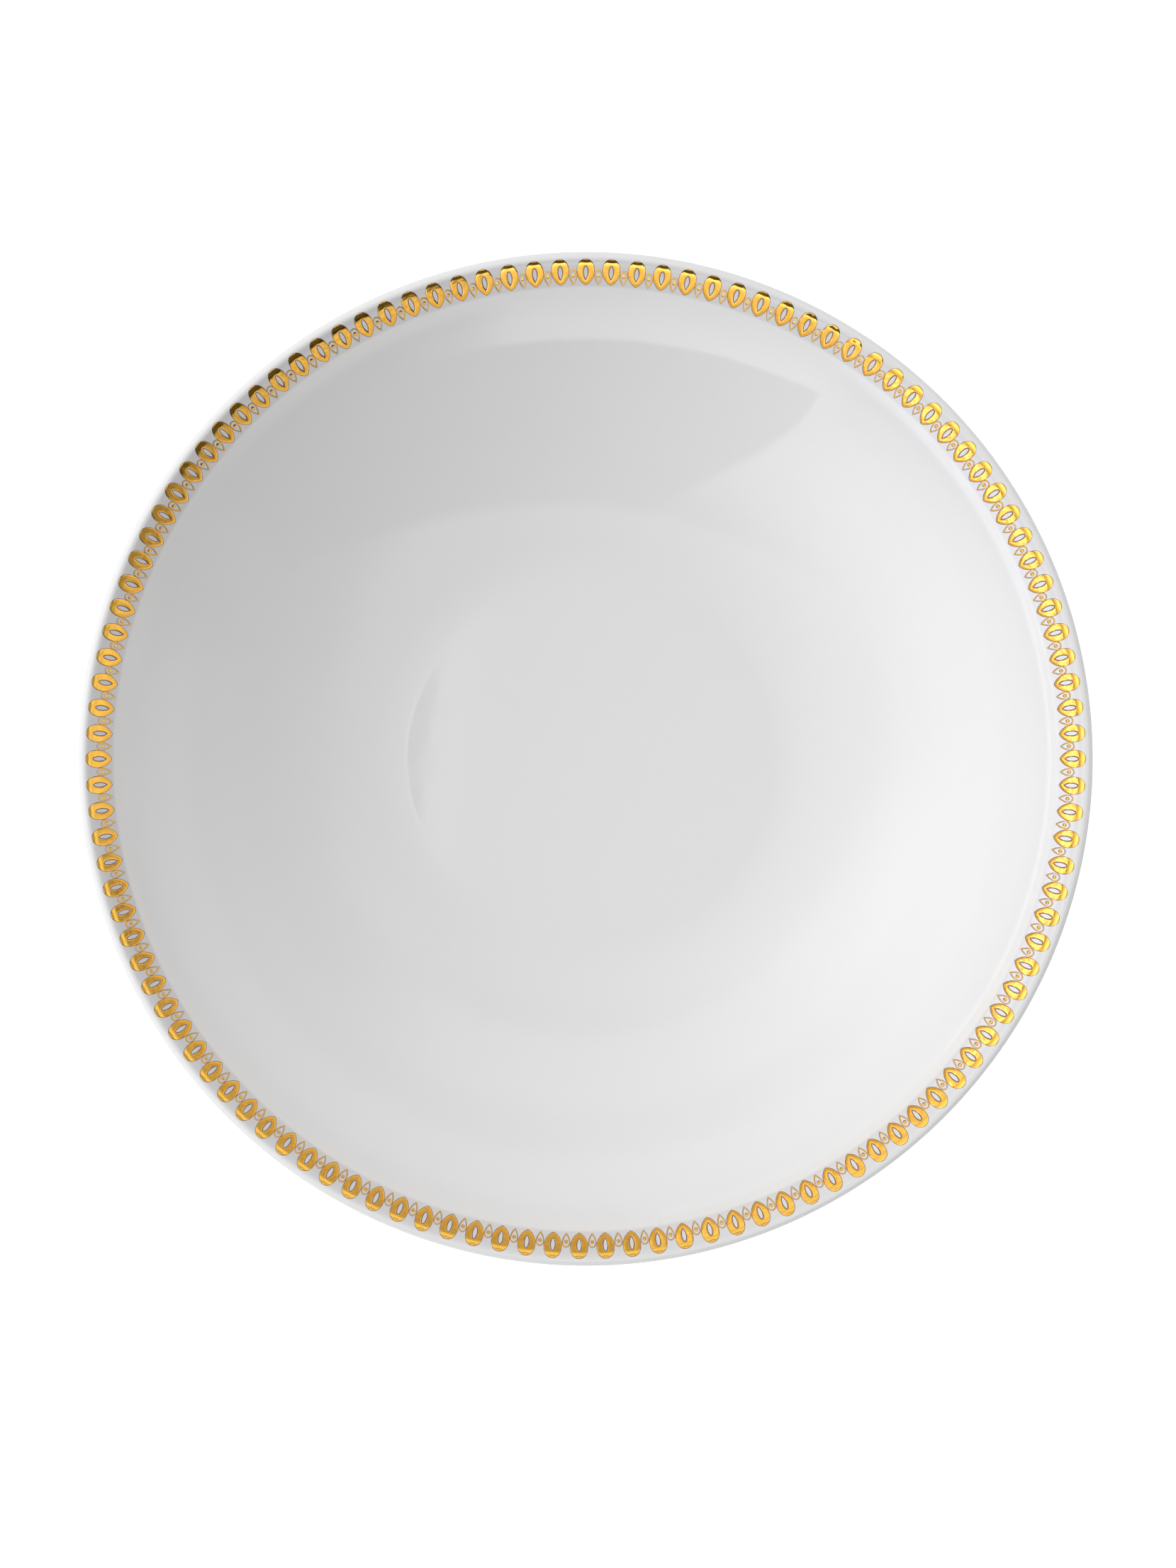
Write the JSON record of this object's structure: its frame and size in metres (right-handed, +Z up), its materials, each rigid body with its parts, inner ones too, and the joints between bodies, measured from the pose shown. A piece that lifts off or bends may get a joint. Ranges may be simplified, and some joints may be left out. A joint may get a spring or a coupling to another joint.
{
  "type": "serving bowl",
  "caption": "Wide shallow porcelain serving bowl on a low foot ring, white glazed, with a gold egg-and-arch border just inside the rim.",
  "frame": {"origin": "centre of the foot face, on the plane that the bowl stands on", "axes": "+Z up along the bowl's axis; +X through the middle of one egg of the border"},
  "size_m": [0.27, 0.27, 0.0561],
  "materials": {
    "porcelain": "white biscuit porcelain, covered by the glaze",
    "biscuit": "bare ground porcelain, matt",
    "glaze": "clear hard gloss glaze over white",
    "gold": "burnished on-glaze gold"
  },
  "bodies": {
    "root": {"porcelain_body": "porcelain", "foot_ring": "biscuit", "inner_glaze": "glaze", "outer_glaze": "glaze", "base_glaze": "glaze", "gold_eggs": "gold", "gold_arches": "gold", "gold_dots": "gold"}
  },
  "joints": []
}
